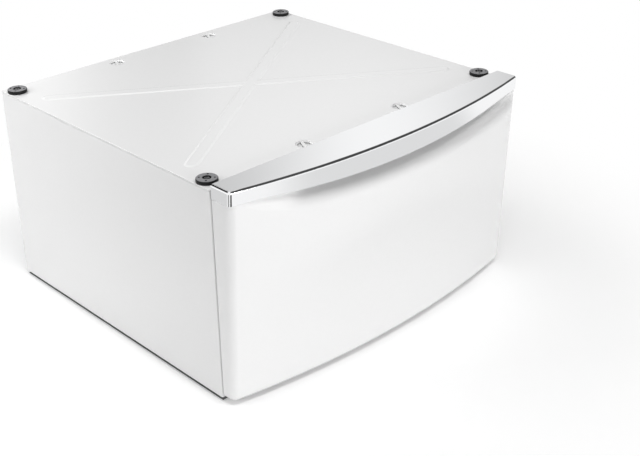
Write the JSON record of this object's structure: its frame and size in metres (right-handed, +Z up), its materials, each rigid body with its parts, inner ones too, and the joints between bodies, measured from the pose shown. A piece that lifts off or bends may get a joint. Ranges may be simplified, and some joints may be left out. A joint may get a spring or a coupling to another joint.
{
  "type": "laundry pedestal",
  "caption": "Steel storage pedestal for a front-loading washer or dryer, with a pressed top, corner pads and one wide drawer with a bowed front under a bright handle trim.",
  "frame": {"origin": "on the floor, in the middle of the overall box", "axes": "+X to the right seen from the front, -Y towards the drawer front, +Z up"},
  "size_m": [0.6858, 0.6937, 0.3937],
  "materials": {
    "white_enamel": "gloss enamel",
    "drawer_enamel": "satin enamel",
    "bright_trim": "plated, satin bright",
    "galvanised_steel": "galvanised",
    "zinc_slide": "bright zinc",
    "zinc_fastener": "bright zinc",
    "black_fastener": "black oxide",
    "black_pad": "moulded, matt",
    "foot_plastic": "moulded",
    "bumper_rubber": "moulded, matt"
  },
  "bodies": {
    "cabinet": {"top_panel": "white_enamel", "left_side_panel": "white_enamel", "right_side_panel": "white_enamel", "back_panel": "galvanised_steel", "front_top_rail": "drawer_enamel", "rear_top_rail": "drawer_enamel", "front_bottom_rail": "galvanised_steel", "rear_bottom_rail": "galvanised_steel", "left_base_rail": "galvanised_steel", "left_slide_support": "galvanised_steel", "left_cabinet_slide": "zinc_slide", "right_base_rail": "galvanised_steel", "right_slide_support": "galvanised_steel", "right_cabinet_slide": "zinc_slide", "corner_pad_front_left": "black_pad", "corner_pad_front_right": "black_pad", "corner_pad_rear_left": "black_pad", "corner_pad_rear_right": "black_pad", "pad_nuts": "zinc_fastener", "front_rail_screws": "zinc_fastener", "back_panel_screws": "zinc_fastener", "foot_weld_nuts": "zinc_fastener", "foot_lock_nuts": "zinc_fastener", "pad_screws": "black_fastener", "drawer_bumpers": "bumper_rubber"},
    "drawer": {"drawer_front": "white_enamel", "handle_trim": "bright_trim", "trim_screws": "zinc_fastener", "drawer_inner_panel": "drawer_enamel", "drawer_back": "drawer_enamel", "drawer_bottom": "drawer_enamel", "left_drawer_side": "drawer_enamel", "right_drawer_side": "drawer_enamel", "left_drawer_slide": "zinc_slide", "right_drawer_slide": "zinc_slide", "drawer_front_screws": "zinc_fastener", "drawer_slide_screws": "zinc_fastener"},
    "left_middle_slide": {"left_middle_slide": "zinc_slide"},
    "left_outer_ball_cage": {"left_outer_ball_cage": "zinc_slide"},
    "left_inner_ball_cage": {"left_inner_ball_cage": "zinc_slide"},
    "right_middle_slide": {"right_middle_slide": "zinc_slide"},
    "right_outer_ball_cage": {"right_outer_ball_cage": "zinc_slide"},
    "right_inner_ball_cage": {"right_inner_ball_cage": "zinc_slide"},
    "foot_front_left": {"levelling_foot_base_front_left": "foot_plastic", "levelling_foot_stud_front_left": "zinc_fastener"},
    "foot_front_right": {"levelling_foot_base_front_right": "foot_plastic", "levelling_foot_stud_front_right": "zinc_fastener"},
    "foot_rear_left": {"levelling_foot_base_rear_left": "foot_plastic", "levelling_foot_stud_rear_left": "zinc_fastener"},
    "foot_rear_right": {"levelling_foot_base_rear_right": "foot_plastic", "levelling_foot_stud_rear_right": "zinc_fastener"}
  },
  "joints": [
    {"name": "drawer_travel", "type": "slide", "parent": "cabinet", "child": "drawer", "axis": [0, -1, 0], "range_m": [0, 0.4]},
    {"name": "left_middle_slide_travel", "type": "slide", "parent": "cabinet", "child": "left_middle_slide", "axis": [0, -1, 0], "range_m": [0, 0.2]},
    {"name": "left_outer_ball_cage_travel", "type": "slide", "parent": "cabinet", "child": "left_outer_ball_cage", "axis": [0, -1, 0], "range_m": [0, 0.1]},
    {"name": "left_inner_ball_cage_travel", "type": "slide", "parent": "cabinet", "child": "left_inner_ball_cage", "axis": [0, -1, 0], "range_m": [0, 0.3]},
    {"name": "right_middle_slide_travel", "type": "slide", "parent": "cabinet", "child": "right_middle_slide", "axis": [0, -1, 0], "range_m": [0, 0.2]},
    {"name": "right_outer_ball_cage_travel", "type": "slide", "parent": "cabinet", "child": "right_outer_ball_cage", "axis": [0, -1, 0], "range_m": [0, 0.1]},
    {"name": "right_inner_ball_cage_travel", "type": "slide", "parent": "cabinet", "child": "right_inner_ball_cage", "axis": [0, -1, 0], "range_m": [0, 0.3]},
    {"name": "foot_front_left_travel", "type": "slide", "parent": "cabinet", "child": "foot_front_left", "axis": [0, 0, -1], "range_m": [0, 0.02]},
    {"name": "foot_front_right_travel", "type": "slide", "parent": "cabinet", "child": "foot_front_right", "axis": [0, 0, -1], "range_m": [0, 0.02]},
    {"name": "foot_rear_left_travel", "type": "slide", "parent": "cabinet", "child": "foot_rear_left", "axis": [0, 0, -1], "range_m": [0, 0.02]},
    {"name": "foot_rear_right_travel", "type": "slide", "parent": "cabinet", "child": "foot_rear_right", "axis": [0, 0, -1], "range_m": [0, 0.02]}
  ],
  "couplings": [
    {"joint": "left_middle_slide_travel", "follows": "drawer_travel", "ratio": 0.5},
    {"joint": "left_outer_ball_cage_travel", "follows": "drawer_travel", "ratio": 0.25},
    {"joint": "left_inner_ball_cage_travel", "follows": "drawer_travel", "ratio": 0.75},
    {"joint": "right_middle_slide_travel", "follows": "drawer_travel", "ratio": 0.5},
    {"joint": "right_outer_ball_cage_travel", "follows": "drawer_travel", "ratio": 0.25},
    {"joint": "right_inner_ball_cage_travel", "follows": "drawer_travel", "ratio": 0.75}
  ]
}
